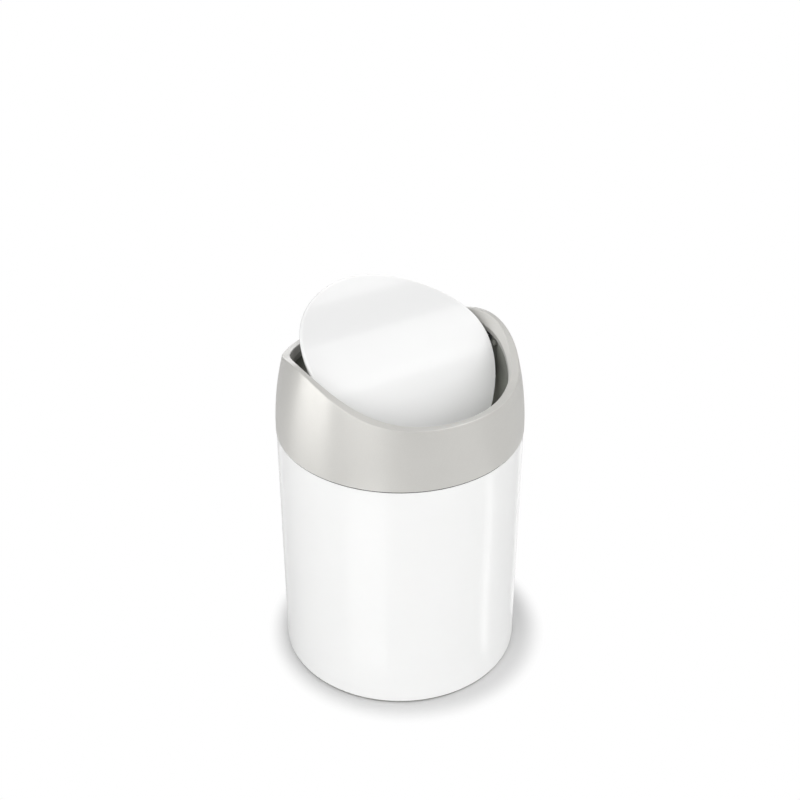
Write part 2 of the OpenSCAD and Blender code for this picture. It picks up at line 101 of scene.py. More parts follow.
class CollarSizes(PropertyGroup):
    """Sizes of the wavy collar."""
    arc: length("Arc", "Radius of the arc that curves the outside inwards", 156)
    wave: length("Wave", "Height of the rim's wave above and below its mean", 7.5)
    wall: length("Wall", "Thickness of the wall", 2.2)
    mouth_side: length("Mouth at the sides", "Distance from the rim's outside to the mouth at the pivots", 4)
    mouth_front: length("Mouth at the front", "Distance from the rim's outside to the mouth at the front", 3.2)
    land: length("Land", "Width of the rim's flat land at the pivots", 2.5)
    slope_side: length("Slope at the sides", "Depth of the sloping wall inside the land at the pivots", 6)
    slope_front: length("Slope at the front", "Depth of the sloping wall inside the land at the front", 2.6)
    lip_side: length("Lip at the sides", "Depth of the lip at the pivots", 8.7)
    lip_front: length("Lip at the front", "Depth of the lip at the front and the back", 7)
    lip_skin: length("Lip skin", "Thickness of the lip's skin", 1)
    crown: length("Crown", "Thickness of the land over the hollow of the lip", 3.3)
    outer_round: length("Outer rounding", "Rounding of the rim's outer edge", 0.5)
    inner_round: length("Inner rounding", "Rounding from the land to the sloping wall", 0.6)
    foot_round: length("Foot rounding", "Rounding from the sloping wall to the upright lip", 0.9)
    segments: IntProperty(name="Segments", description="Steps round the collar", default=432, min=24)


class FlapSizes(PropertyGroup):
    """Sizes of the flap's sheet."""
    half_x: length("Half-length", "Half of the flap along the pivot axis", 49.33)
    half_y: length("Half-width", "Half of the flap across the pivot axis", 54.63)
    crest: length("Crest", "Height of the flap's crest above the pivot axis", 5.2)
    wave: length("Wave", "Height of the flap's wave above and below its mean", 7)
    sheet: length("Sheet", "Thickness of the flap's sheet", 0.8)
    hem: length("Hem", "Width and height of the rolled hem round the edge", 1.6)
    tilt: FloatProperty(name="Tilt", description="Angle of the stored flap, front edge down",
                        default=math.radians(36.3), subtype="ANGLE")
    rings: IntProperty(name="Rings", description="Steps from the middle to the hem", default=40, min=4)
    segments: IntProperty(name="Segments", description="Steps round the flap", default=288, min=24)


class FinishColours(PropertyGroup):
    """Colours of the finishes."""
    tube_paint: colour("Tube paint", "Gloss powder coat of the tube", (0.885, 0.887, 0.881))
    flap_paint: colour("Flap paint", "Gloss enamel of the flap", (0.785, 0.787, 0.785))
    collar: colour("Collar", "Satin moulding of the collar", (0.71, 0.7, 0.67))
    dark: colour("Dark moulding", "Sleeve, bearing blocks and base ring", (0.27, 0.276, 0.248))
    tray: colour("Tray", "Moulded tray under the flap", (0.6, 0.6, 0.58))
    bush: colour("Bushes", "Bearing plastic", (0.12, 0.12, 0.12))
    rubber: colour("Rubber", "Gasket and feet", (0.03, 0.03, 0.03))
    bumper: colour("Bumpers", "Rubber of the stops", (0.17, 0.174, 0.156))
    zinc: colour("Zinc", "Zinc-coated sheet of the bottom", (0.5, 0.51, 0.51))
    plated: colour("Plating", "Plated screws, studs and nuts", (0.62, 0.62, 0.61))
    pin: colour("Pins", "Ground steel", (0.62, 0.62, 0.63))
    spring: colour("Spring steel", "Dark oiled clips", (0.3, 0.3, 0.3))
    bar: colour("Bar", "Plain rolled bar", (0.35, 0.35, 0.36))


class StageSizes(PropertyGroup):
    """Camera, lamps and floor."""
    eye: FloatVectorProperty(name="Eye", description="Place of the camera", size=3, subtype="TRANSLATION",
                             default=(-0.2895, -0.4634, 0.4742))
    pitch: FloatProperty(name="Pitch", description="Angle of the view below level",
                         default=math.radians(31.08), subtype="ANGLE")
    lens: FloatProperty(name="Lens", description="Focal length on a 36 mm sensor", default=57.62,
                        subtype="DISTANCE_CAMERA")
    floor: FloatProperty(name="Floor", description="Width of the floor", default=8, unit="LENGTH")
    sky: FloatProperty(name="Sky", description="Strength of the even light from all sides",
                       default=0.48, min=0)
    room: FloatProperty(name="Room", description="Strength of the room where surfaces mirror it",
                        default=0.55, min=0)
    fade_near: length("Fade start", "Distance from the shadow's middle where the floor starts to whiten", 62)
    fade_far: length("Fade end", "Distance from the shadow's middle where the floor is plain white", 77)
    shadow: FloatVectorProperty(name="Shadow", description="Middle of the shadow on the floor", size=3,
                                subtype="TRANSLATION", default=(0.0028, -0.0026, 0))


# ---------------------------------------------------------------- surfaces

def mesh_piece(name, body, points, quads, triangles=None):
    """New smooth-shaded mesh object from arrays of points, quads and triangles, riding on a body."""
    quads = np.asarray(quads, dtype=np.int32).reshape(-1, 4)
    triangles = np.asarray([] if triangles is None else triangles, dtype=np.int32).reshape(-1, 3)
    mesh = bpy.data.meshes.new(name)
    mesh.vertices.add(len(points))
    mesh.vertices.foreach_set("co", np.asarray(points, dtype=np.float32).ravel())
    corners = np.concatenate([quads.ravel(), triangles.ravel()])
    sizes = np.concatenate([np.full(len(quads), 4, np.int32), np.full(len(triangles), 3, np.int32)])
    mesh.loops.add(len(corners))
    mesh.loops.foreach_set("vertex_index", corners)
    mesh.polygons.add(len(sizes))
    mesh.polygons.foreach_set("loop_start", np.cumsum(sizes) - sizes)
    mesh.polygons.foreach_set("use_smooth", np.ones(len(sizes), dtype=bool))
    mesh.update(calc_edges=True)
    mesh.validate()
    piece = bpy.data.objects.new(name, mesh)
    bpy.context.scene.collection.objects.link(piece)
    piece.modifiers.new("normals", "WEIGHTED_NORMAL").weight = 80
    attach(piece, body)
    return piece


def ring_quads(rows, columns, wrap_rows):
    """Quads of a grid whose columns close on themselves, and its rows too where wrap_rows is true."""
    last = rows if wrap_rows else rows - 1
    row, column = np.meshgrid(np.arange(last), np.arange(columns), indexing="ij")
    above, beside = (row + 1) % rows, (column + 1) % columns
    return np.stack([row * columns + column, row * columns + beside,
                     above * columns + beside, above * columns + column], axis=-1).reshape(-1, 4)


def carried_round(name, body, sections):
    """Closed surface whose section at each angle about the can's axis is a closed loop of (radius, height).

    sections[i, j] is point j of the loop at angle i; the point is (radius cos a, radius sin a, height).
    The loops run anticlockwise seen with the radius to the right, so that faces point outwards.
    """
    steps, count = sections.shape[:2]
    angle = np.arange(steps) * TURN / steps
    radius, height = sections[..., 0].T, sections[..., 1].T
    points = np.stack([radius * np.cos(angle), radius * np.sin(angle), height], axis=-1)
    return mesh_piece(name, body, points.reshape(-1, 3), ring_quads(count, steps, True))


def rounded(corners, steps):
    """Rounds the corners of closed loops: each becomes a cubic curve between two points on its sides.

    corners is a list of (points, before, after): points is an array (n, 2), before and after are how far
    the curve reaches along the side before and after the corner, or None where the corner stays as it is.
    A curve takes less than half of a side. Its handles reach 0.5523 of the way to the corner, as those of
    a quarter circle do.
    """
    places = [np.asarray(corner[0], dtype=float) for corner in corners]
    loop = []
    for index, (_, before, after) in enumerate(corners):
        here, back, on = places[index], places[index - 1], places[(index + 1) % len(places)]
        if before is None:
            loop.append(here[:, None])
            continue
        to_back, to_on = back - here, on - here
        long_back = np.linalg.norm(to_back, axis=-1, keepdims=True)
        long_on = np.linalg.norm(to_on, axis=-1, keepdims=True)
        start = here + to_back / long_back * np.minimum(np.reshape(before, (-1, 1)), 0.49 * long_back)
        end = here + to_on / long_on * np.minimum(np.reshape(after, (-1, 1)), 0.49 * long_on)
        t = np.linspace(0, 1, steps)[None, :, None]
        pull = 0.5523
        first, second = start + pull * (here - start), end + pull * (here - end)
        loop.append((1 - t) ** 3 * start[:, None] + 3 * (1 - t) ** 2 * t * first[:, None]
                    + 3 * (1 - t) * t ** 2 * second[:, None] + t ** 3 * end[:, None])
    return np.concatenate(loop, axis=1)


def turned(name, body, corners, segments, steps=6):
    """Ring turned about the can's axis from a closed loop of corners (radius, height, rounding)."""
    loop = [(np.array([[r, z]]), cut or None, cut or None) for r, z, cut in corners]
    section = rounded(loop, steps)
    return carried_round(name, body, np.repeat(section, segments, axis=0))


# ---------------------------------------------------------------- collar shape

def collar_radius(sizes, z):
    """Outside radius of the collar at a height: an arc tangent to the upright at the seam."""
    return SEAM_RADIUS - sizes.arc + np.sqrt(sizes.arc ** 2 - (z - SHELL_LOW.z) ** 2)


def oval_radius(halves, angle):
    """Distance from the axis to an oval in a direction."""
    return 1 / np.hypot(np.cos(angle) / halves[0], np.sin(angle) / halves[1])


class CollarShape:
    """Heights of the wavy rim and of its lip, and half-widths of the mouth, worked out from the sizes."""

    def __init__(self, sizes):
        self.sizes = sizes
        self.high = SHELL_HIGH.z
        self.mean = self.high - sizes.wave
        self.low = self.mean - sizes.wave
        self.half = collar_radius(sizes, self.low)
        top = collar_radius(sizes, self.high)
        self.mouth = top - sizes.mouth_side, self.half - sizes.mouth_front
        self.land = top - sizes.land, self.half - sizes.mouth_front
        lip_high, lip_low = self.high - sizes.lip_side, self.low - sizes.lip_front
        self.lip_mean, self.lip_wave = (lip_high + lip_low) / 2, (lip_high - lip_low) / 2

    def swell(self, y):
        """Cosine that is 1 over the pivots and -1 at the front and the back."""
        return np.cos(math.pi * y / self.half)

    def rim(self, y):
        """Height of the rim's land."""
        return self.mean + self.sizes.wave * self.swell(y)

    def lip(self, y):
        """Height of the lip's lower edge."""
        return self.lip_mean + self.lip_wave * self.swell(y)

    def rim_radius(self, angle):
        """Radius at which the outside meets the rim in a direction, by repeated substitution."""
        radius = np.full(angle.shape, self.half)
        for _ in range(30):
            radius = collar_radius(self.sizes, self.rim(radius * np.sin(angle)))
        return radius


def collar_sections(sizes):
    """Section of the collar at every angle: outside arc, flat land, slope, lip, hollow behind, inside wall.

    The slope's depth goes from the front's to the side's with the squared cosine of the angle. The outside
    and the inside wall follow the arc, and the rest joins points on the wavy heights of CollarShape.
    """
    shape = CollarShape(sizes)
    angle = np.arange(sizes.segments) * TURN / sizes.segments
    sine, side = np.sin(angle), np.cos(angle) ** 2
    bottom = np.full(angle.shape, SHELL_LOW.z)
    outer = shape.rim_radius(angle)
    outer_z = shape.rim(outer * sine)
    mouth = oval_radius(shape.mouth, angle)
    land = oval_radius(shape.land, angle)
    slope = sizes.slope_front + (sizes.slope_side - sizes.slope_front) * side
    behind = mouth + sizes.lip_skin
    ceiling = shape.rim(behind * sine) - sizes.crown
    arc_end = outer_z - 4 * MM  # the arc's last row, clear of the rim's rounding
    outside_rows, inside_rows = 13, 8
    edge, lip_edge, skin_edge = 0.3 * MM, 0.35 * MM, 0.25 * MM

    def pair(radius, z):
        return np.stack([radius, z], axis=-1)

    def wall(z, inset):
        return pair(collar_radius(sizes, z) - inset, z)

    corners = [(wall(bottom, 0), edge, edge)]
    for share in np.linspace(0, 1, outside_rows + 1)[1:]:
        corners.append((wall(bottom + (arc_end - bottom) * share, 0), None, None))
    corners += [
        (pair(outer, outer_z), sizes.outer_round, sizes.outer_round),
        (pair(land, shape.rim(land * sine)), sizes.inner_round, sizes.inner_round),
        (pair(mouth, shape.rim(mouth * sine) - slope), sizes.foot_round, sizes.foot_round),
        (pair(mouth, shape.lip(mouth * sine)), lip_edge, lip_edge),
        (pair(behind, shape.lip(behind * sine)), skin_edge, skin_edge),
        (pair(behind, ceiling), edge, edge),
        (wall(ceiling, sizes.wall), edge, edge),
    ]
    for share in np.linspace(0, 1, inside_rows + 1)[1:-1]:
        corners.append((wall(ceiling + (bottom - ceiling) * share, sizes.wall), None, None))
    corners.append((wall(bottom, sizes.wall), edge, edge))
    return rounded(corners, 7)


# ---------------------------------------------------------------- flap shape

def swung(points, sizes):
    """Points given about the pivot axis with the flap level, turned to the stored angle and lifted to it."""
    c, s = math.cos(sizes.tilt), math.sin(sizes.tilt)
    x, y, z = points[..., 0], points[..., 1], points[..., 2]
    return np.stack([x, y * c - z * s, y * s + z * c + SWING["pos_m"][2]], axis=-1)


def oval_edge(sizes, angle, inset):
    """Points of the flap's outline moved inwards along the outline's normal."""
    x, y = sizes.half_x * np.cos(angle), sizes.half_y * np.sin(angle)
    nx, ny = np.cos(angle) / sizes.half_x, np.sin(angle) / sizes.half_y
    size = np.hypot(nx, ny)
    return x - inset * nx / size, y - inset * ny / size


def flap_surface(sizes):
    """Oval wavy sheet with a rolled hem: rings from the middle of the top, over the hem and back underneath.

    A ring is an oval shrunk towards the middle, or moved inwards on the hem, at a drop below the upper face,
    whose height is the crest less the wave times (1 - the rim's cosine swell). Also says which points are on
    the hem.
    """
    shape = CollarShape(bpy.context.scene.can_collar)
    angle = np.arange(sizes.segments) * TURN / sizes.segments
    shares = np.linspace(0, 1, sizes.rings + 1)[1:]
    rings = []

    def ring(edge, drop, share=1):
        x, y = edge[0] * share, edge[1] * share
        rings.append(np.stack([x, y, sizes.crest - sizes.wave * (1 - shape.swell(y)) - drop], axis=-1))

    for share in shares:
        ring(oval_edge(sizes, angle, sizes.hem), 0, share)
    hem_start = len(rings)
    bead = sizes.hem / 2
    for a in np.radians(np.linspace(78, -90, 12)):
        ring(oval_edge(sizes, angle, bead - bead * math.cos(a)), bead - bead * math.sin(a))
    fold = ((1.125 * sizes.hem, sizes.hem), (0.9 * sizes.hem, 0.95 * sizes.hem),
            (0.9 * sizes.hem, 1.2 * sizes.sheet))  # the sheet's own edge, folded under: inset, drop
    for inset, drop in fold:
        ring(oval_edge(sizes, angle, inset), drop)
    hem_end = len(rings)
    for share in shares[::-1]:
        ring(oval_edge(sizes, angle, sizes.hem * 1.15), sizes.sheet, share)
    rows = len(rings)
    top, bottom = [0, 0, sizes.crest], [0, 0, sizes.crest - sizes.sheet]
    points = np.concatenate([np.concatenate(rings), [top, bottom]])
    start = np.arange(sizes.segments)
    after = (start + 1) % sizes.segments
    base = (rows - 1) * sizes.segments
    quads = ring_quads(rows, sizes.segments, False)[:, ::-1]
    fans = np.concatenate([
        np.stack([start, after, np.full_like(start, len(points) - 2)], axis=-1),
        np.stack([base + after, base + start, np.full_like(start, len(points) - 1)], axis=-1)])
    hem = np.zeros(len(points), dtype=np.float32)
    hem[hem_start * sizes.segments:hem_end * sizes.segments] = 1
    return swung(points, sizes), quads, fans, hem


# ---------------------------------------------------------------- finishes

class Wire:
    """Output socket whose arithmetic adds Math nodes to its tree."""

    def __init__(self, tree, socket):
        self.tree, self.socket = tree, socket

    def maths(self, operation, first, second):
        return self.tree.add("ShaderNodeMath", {"operation": operation}, {0: first, 1: second})[0]

    def __add__(self, other):
        return self.maths("ADD", self, other)

    def __radd__(self, other):
        return self.maths("ADD", other, self)

    def __sub__(self, other):
        return self.maths("SUBTRACT", self, other)

    def __rsub__(self, other):
        return self.maths("SUBTRACT", other, self)

    def __mul__(self, other):
        return self.maths("MULTIPLY", self, other)

    def __rmul__(self, other):
        return self.maths("MULTIPLY", other, self)

    def __truediv__(self, other):
        return self.maths("DIVIDE", self, other)

    def __rtruediv__(self, other):
        return self.maths("DIVIDE", other, self)


class Node(list):
    """Outputs of one node, by place or by name."""

    def __init__(self, tree, node):
        super().__init__(Wire(tree, socket) for socket in node.outputs)
        self.names = {socket.name: wire for socket, wire in zip(node.outputs, self)}


class Tree:
    """Emptied node tree of a material or a world, with one method that adds nodes."""

    def __init__(self, holder):
        holder.use_nodes = True
        self.nodes, self.links = holder.node_tree.nodes, holder.node_tree.links
        self.nodes.clear()

    def add(self, kind, settings=None, sockets=None):
        """Adds a node, sets it, then fills its sockets with values or links them to wires."""
        node = self.nodes.new(kind)
        for name, value in (settings or {}).items():
            setattr(node, name, value)
        for name, value in (sockets or {}).items():
            if isinstance(value, Wire):
                self.links.new(value.socket, node.inputs[name])
            else:
                node.inputs[name].default_value = value
        return Node(self, node)

    def noise(self, where, scale, detail):
        """Cloudy pattern between 0 and 1."""
        return self.add("ShaderNodeTexNoise", {}, {"Vector": where, "Scale": scale, "Detail": detail})[0]

    def level(self, wire, low, high, to_low, to_high):
        """Value moved from one range to another and kept inside it."""
        return self.add("ShaderNodeMapRange", {"clamp": True},
                        {"Value": wire, "From Min": low, "From Max": high,
                         "To Min": to_low, "To Max": to_high})[0]

    def mottled(self, where, scale, detail, low, high):
        """Noise spread between two values."""
        return self.level(self.noise(where, scale, detail), 0.3, 0.7, low, high)

    def shaded(self, tint, factor):
        """Colour times a grey factor."""
        grey = self.add("ShaderNodeCombineColor", {}, {0: factor, 1: factor, 2: factor})[0]
        return self.add("ShaderNodeMix", {"data_type": "RGBA", "blend_type": "MULTIPLY"},
                        {"Factor": 1.0, 6: (*tint, 1), 7: grey})[2]

    def relief(self, where, scale, detail, strength, distance):
        """Normal of a fine noise in the surface's height."""
        return self.add("ShaderNodeBump", {}, {"Height": self.noise(where, scale, detail),
                                               "Strength": strength, "Distance": distance})[0]

    def coated(self, colour, roughness, normal, others):
        """Ends a material in a Principled shader. others holds values and wires of its other sockets."""
        shader = self.add("ShaderNodeBsdfPrincipled", {}, {
            "Base Color": colour, "Roughness": roughness, "Normal": normal, **others})
        self.add("ShaderNodeOutputMaterial", {}, {"Surface": shader[0]})


METAL = {"Metallic": 1.0}
GLOSS = {"Coat Weight": 0.6, "Coat Roughness": 0.15, "IOR": 1.5}
UPRIGHT = {"Anisotropic": 0.8, "Anisotropic Rotation": 0.25}  # sheen drawn out up and down the wall

# Plain finishes, by the record's slots: the colour's name; lowest and highest roughness and its scale;
# stretch, scale, detail, strength and distance of the relief; darkest and lightest share of the colour and
# its scale; values of the shader's other sockets.
PLAIN = {
    "white_paint": ("tube_paint", (0.3, 0.36, 90), (EVEN, 420, 2, 0.05, 0.0004), (0.985, 1, 25),
                    {**GLOSS, **UPRIGHT}),
    "dark_plastic": ("dark", (0.55, 0.68, 300), (EVEN, 2200, 4, 0.25, 0.0002), (0.85, 1, 120), {}),
    "grey_plastic": ("tray", (0.5, 0.62, 300), (EVEN, 2400, 4, 0.25, 0.0002), (0.9, 1, 120), {}),
    "bush_plastic": ("bush", (0.35, 0.45, 400), (EVEN, 3000, 2, 0.1, 0.0001), (0.9, 1, 150), {}),
    "black_rubber": ("rubber", (0.7, 0.85, 500), (EVEN, 1800, 4, 0.3, 0.0002), (0.75, 1, 200), {}),
    "grey_rubber": ("bumper", (0.7, 0.85, 500), (EVEN, 1800, 4, 0.3, 0.0002), (0.85, 1, 200), {}),
    "zinc_steel": ("zinc", (0.32, 0.5, 160), (EVEN, 900, 4, 0.1, 0.0002), (0.8, 1, 140), METAL),
    "screw_steel": ("plated", (0.22, 0.38, 700), (EVEN, 1600, 3, 0.12, 0.0001), (0.85, 1, 500), METAL),
    "pin_steel": ("pin", (0.18, 0.3, 900), ((14, 1, 1), 500, 3, 0.15, 0.0001), (0.9, 1, 500), METAL),
    "spring_steel": ("spring", (0.3, 0.45, 900), (EVEN, 1500, 3, 0.15, 0.0001), (0.8, 1, 500), METAL),
    "bar_steel": ("bar", (0.35, 0.55, 300), ((1, 12, 12), 60, 5, 0.3, 0.0003), (0.7, 1, 150), METAL),
}


def plain_finish(tree, where, slot):
    """Principled finish: colour with a soft drift, roughness that varies, and a fine relief."""
    colour_name, (low, high, scale), (stretch, *relief), (dark, light, drift_scale), others = PLAIN[slot]
    tint = getattr(bpy.context.scene.can_finishes, colour_name)
    drift = tree.mottled(where, drift_scale, 4.0, dark, light)
    roughness = tree.mottled(where, scale, 5.0, low, high)
    drawn = tree.add("ShaderNodeMapping", {}, {"Vector": where, "Scale": stretch})[0]
    tree.coated(tree.shaded(tint, drift), roughness, tree.relief(drawn, *relief), others)


def pearl_finish(tree, where):
    """Pearly paint sprayed from outside, plain inside, with painted shade on the land and the lip.

    The share of pearl grows with facing, the object's own normal dotted with the direction away from the
    can's axis, and the colour is darkened as painted shade where the surface faces up, on the land. Inside,
    the upright lip below the slope is darkened as painted shade: below is the rim's wavy height less the
    slope's depth and the point's own height.
    """
    sizes = bpy.context.scene.can_collar
    shape = CollarShape(sizes)
    normal = tree.add("ShaderNodeTexCoord").names["Normal"]
    flat = tree.add("ShaderNodeVectorMath", {"operation": "MULTIPLY"}, {0: where, 1: (1, 1, 0)})[0]
    away = tree.add("ShaderNodeVectorMath", {"operation": "NORMALIZE"}, {0: flat})[0]
    facing = tree.add("ShaderNodeVectorMath", {"operation": "DOT_PRODUCT"},
                      {0: normal, 1: away}).names["Value"]
    pearl = tree.level(facing, 0, 0.95, 0.05, 0.75)
    flakes = tree.mottled(where, 1800, 4.0, 0.975, 1)
    # painted shade: faces that point up, such as the land, are darkened to 0.75 of the colour
    painted_shade_facing_up = tree.level(facing * facing, 0, 0.6, 0.75, 1)
    x, y, z = tree.add("ShaderNodeSeparateXYZ", {}, {0: where})
    swell = tree.add("ShaderNodeMath", {"operation": "COSINE"}, {0: y * (math.pi / shape.half)})[0]
    side = x * x / (x * x + y * y)
    slope = side * (sizes.slope_side - sizes.slope_front) + sizes.slope_front
    below = swell * sizes.wave + shape.mean - z - slope
    inwards = tree.level(facing, -0.3, -0.6, 0, 1)
    # painted shade: the upright lip below the slope, in the gap by the flap, is darkened to 0.6 of the colour
    lip = tree.level(below * inwards, 0, 0.5 * MM, 1, 0.6)
    tree.coated(tree.shaded(bpy.context.scene.can_finishes.collar, flakes * painted_shade_facing_up * lip),
                tree.mottled(where, 260, 5.0, 0.38, 0.44), tree.relief(where, 2600, 3.0, 0.08, 0.0001),
                {"Metallic": pearl, "Coat Weight": 0.15, "Coat Roughness": 0.3, **UPRIGHT})


def flap_finish(tree, where):
    """Gloss enamel with a painted highlight on the hem, which the sheet's own attribute marks.

    Its roughness stays above 0.274, because patches below that stand out once the render is denoised.
    """
    hem = tree.add("ShaderNodeAttribute", {"attribute_name": "hem"}).names["Fac"]
    # painted highlight: the hem's colour is raised by up to 1.12 times, for a bright line along the rolled edge
    white = tree.mottled(where, 25, 4.0, 0.99, 1) * tree.level(hem, 0, 1, 1, 1.12)
    tree.coated(tree.shaded(bpy.context.scene.can_finishes.flap_paint, white),
                tree.mottled(where, 90, 5.0, 0.28, 0.34), tree.relief(where, 380, 2.0, 0.04, 0.0004),
                {"Coat Weight": 0.6, "Coat Roughness": 0.08, "IOR": 1.5})


def sleeve_finish(tree, where):
    """Matte moulding with painted shade near the lip and painted light further down its wall."""
    dark_height, pale_height = 0.1565, 0.139
    height = tree.add("ShaderNodeSeparateXYZ", {}, {0: where})[2]
    # painted light and shade: the colour is darkened 0.8 times above the first height and lightened up to 2.4
    # times below the second
    painted_light_and_shade = tree.level(height, dark_height, pale_height, 0.8, 2.4)
    drift = tree.mottled(where, 120, 4.0, 0.9, 1)
    tree.coated(tree.shaded(bpy.context.scene.can_finishes.dark, painted_light_and_shade * drift),
                tree.mottled(where, 300, 5.0, 0.55, 0.68), tree.relief(where, 2200, 4.0, 0.25, 0.0002), {})


OWN = {"flap_paint": flap_finish, "pearl_plastic": pearl_finish, "sleeve": sleeve_finish}


def finish(slot):
    """Material of a record slot, or of the sleeve, made once."""
    name = "finish_" + slot
    if name in bpy.data.materials:
        return bpy.data.materials[name]
    material = bpy.data.materials.new(name)
    tree = Tree(material)
    where = tree.add("ShaderNodeTexCoord").names["Object"]
    if slot in OWN:
        OWN[slot](tree, where)
    else:
        plain_finish(tree, where, slot)
    return material


def dress(piece, slot):
    """Gives a piece its slot's finish in place of whatever it has."""
    piece.data.materials.clear()
    piece.data.materials.append(finish(slot))


# ---------------------------------------------------------------- CAD nodes that stay

def joined_faces():
    """Node group that joins a node's loose triangles and shades it smooth except over its edges."""
    group = bpy.data.node_groups.get("joined_faces")
    if group:
        return group
    group = bpy.data.node_groups.new("joined_faces", "GeometryNodeTree")
    for direction in ("INPUT", "OUTPUT"):
        group.interface.new_socket("Geometry", in_out=direction, socket_type="NodeSocketGeometry")
    add, link = group.nodes.new, group.links.new
    source, result = add("NodeGroupInput"), add("NodeGroupOutput")
    merge = add("GeometryNodeMergeByDistance")
    merge.inputs["Distance"].default_value = 2e-6
    smooth, crisp = add("GeometryNodeSetShadeSmooth"), add("GeometryNodeSetShadeSmooth")
    crisp.domain = "EDGE"
    crisp.inputs["Shade Smooth"].default_value = False
    bend, sharp = add("GeometryNodeInputMeshEdgeAngle"), add("FunctionNodeCompare")
    sharp.operation = "GREATER_THAN"
    sharp.inputs[1].default_value = CREASE
    link(source.outputs[0], merge.inputs["Geometry"])
    link(merge.outputs[0], smooth.inputs["Geometry"])
    link(smooth.outputs[0], crisp.inputs["Geometry"])
    link(bend.outputs[0], sharp.inputs[0])
    link(sharp.outputs[0], crisp.inputs["Selection"])
    link(crisp.outputs[0], result.inputs[0])
    return group


def soften(node, width):
    """Joins a CAD node's faces, drops the edges inside flats and gives the others a narrow rounding."""
    piece = frame["nodes"][node]
    join = piece.modifiers.new("joined", "NODES")
    join.node_group = joined_faces()
    if width:
        flat = piece.modifiers.new("flats", "DECIMATE")
        flat.decimate_type = "DISSOLVE"
        flat.angle_limit = math.radians(0.3)  # keeps the facets of round walls
        edge = piece.modifiers.new("edges", "BEVEL")
        edge.width = width
        edge.segments = 2
        edge.limit_method = "ANGLE"
        edge.angle_limit = CREASE
        edge.harden_normals = True
    return piece


def slot_of(node):
    """The record's material slot of a node."""
    return next(part["material_slot"] for part in frame["record"]["subparts"] if part["node"] == node)


# ---------------------------------------------------------------- lamps

def around(azimuth, elevation, distance):
    """Place at an azimuth and an elevation, in degrees, from the middle of the can."""
    a, e = math.radians(azimuth), math.radians(elevation)
    level = distance * math.cos(e)
    return level * math.cos(a), level * math.sin(a), MIDDLE[2] + distance * math.sin(e)


def lamp(name, place, size, power, target):
    """Rectangular soft lamp that faces a target and isn't seen by the camera."""
    data = bpy.data.lights.new(name, "AREA")
    data.shape, data.size, data.size_y = "RECTANGLE", *size
    data.energy = power
    light = bpy.data.objects.new(name, data)
    light.location = place
    light.rotation_euler = (Vector(target) - Vector(place)).to_track_quat("-Z", "Y").to_euler()
    light.visible_camera = False
    bpy.context.scene.collection.objects.link(light)
    return light


def card(name, place, size, power, target=MIDDLE):
    """Lamp that only shows in the gloss of surfaces, as a white card does."""
    lamp(name, place, size, power, target).visible_diffuse = False


def wash(name, place, size, power):
    """Lamp that lights surfaces and doesn't show in their gloss."""
    lamp(name, place, size, power, MIDDLE).visible_glossy = False


def streak(name, azimuth, width, power):
    """Narrow upright card close to the tube, for a streak on the wall at an azimuth.

    It stands where the wall's mirror ray from the stored camera goes, turned by twice the wall's azimuth
    less the camera's.
    """
    eye = bpy.context.scene.can_stage.eye
    wall = math.radians(azimuth)
    mirrored = math.radians(2 * azimuth - math.degrees(math.atan2(eye[1], eye[0])))
    reach, height = 0.022, 0.115
    wall_x, wall_y = TUBE_HIGH.x * math.cos(wall), TUBE_HIGH.x * math.sin(wall)
    place = wall_x + reach * math.cos(mirrored), wall_y + reach * math.sin(mirrored), height / 2
    card(name, place, (width, height), power, (wall_x, wall_y, height / 2))


# ---------------------------------------------------------------- operators

class CAN_OT_tube(Operator):
    """Painted tube, hemmed at the mouth and curled at the foot"""
    bl_idname = "can.tube"
    bl_label = "Tube"

    def execute(self, context):
        sizes = context.scene.can_tube
        out, low, high = TUBE_HIGH.x, TUBE_LOW.z, TUBE_HIGH.z
        mouth, inside, curl = out - sizes.hem_width, out - sizes.sheet, out - sizes.curl_width
        hem_foot, curl_top = high - sizes.hem_height, low + sizes.curl_height
        fold, bend = 0.6 * MM, 0.2 * MM
        corners = [(curl, low, 0.8 * MM), (out, low, 0.9 * MM)]
        corners += [(out, low + (high - low) * share, 0) for share in np.linspace(0.05, 0.95, 13)]
        corners += [(out, high, sizes.edge), (mouth, high, sizes.edge), (mouth, hem_foot, fold),
                    (inside, hem_foot, bend), (inside, curl_top, bend), (curl, curl_top, fold)]
        piece = turned("painted_tube", "can", corners, sizes.segments)
        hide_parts("body_tube")
        dress(piece, "white_paint")
        return {"FINISHED"}


class CAN_OT_collar(Operator):
    """Light grey collar with its wavy rim, land and lip"""
    bl_idname = "can.collar"
    bl_label = "Collar"

    def execute(self, context):
        sections = collar_sections(context.scene.can_collar)
        piece = carried_round("wavy_collar", "collar", sections)
        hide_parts("collar_shell")
        dress(piece, "pearl_plastic")
        return {"FINISHED"}


class CAN_OT_gasket(Operator):
    """Thin rubber gasket in the seam between the tube and the collar"""
    bl_idname = "can.gasket"
    bl_label = "Gasket"

    def execute(self, context):
        sizes = context.scene.can_tube
        out, low, high = TUBE_HIGH.x - sizes.gasket, GASKET_LOW.z, GASKET_HIGH.z
        inside, edge = out - sizes.gasket_width, 0.15 * MM
        ring = [(inside, low, 0), (out, low, edge), (out, high, edge), (inside, high, 0)]
        piece = turned("seam_ring", "collar", ring, sizes.segments)
        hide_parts("seam_gasket")
        dress(piece, "black_rubber")
        return {"FINISHED"}


class CAN_OT_flap(Operator):
    """Wavy oval sheet of the flap with its rolled hem"""
    bl_idname = "can.flap"
    bl_label = "Flap"

    def execute(self, context):
        points, quads, fans, hem = flap_surface(context.scene.can_flap)
        piece = mesh_piece("flap_sheet", "flap", points, quads, fans)
        piece.data.attributes.new("hem", "FLOAT", "POINT").data.foreach_set("value", hem)
        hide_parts("flap_skin")
        dress(piece, "flap_paint")
        return {"FINISHED"}


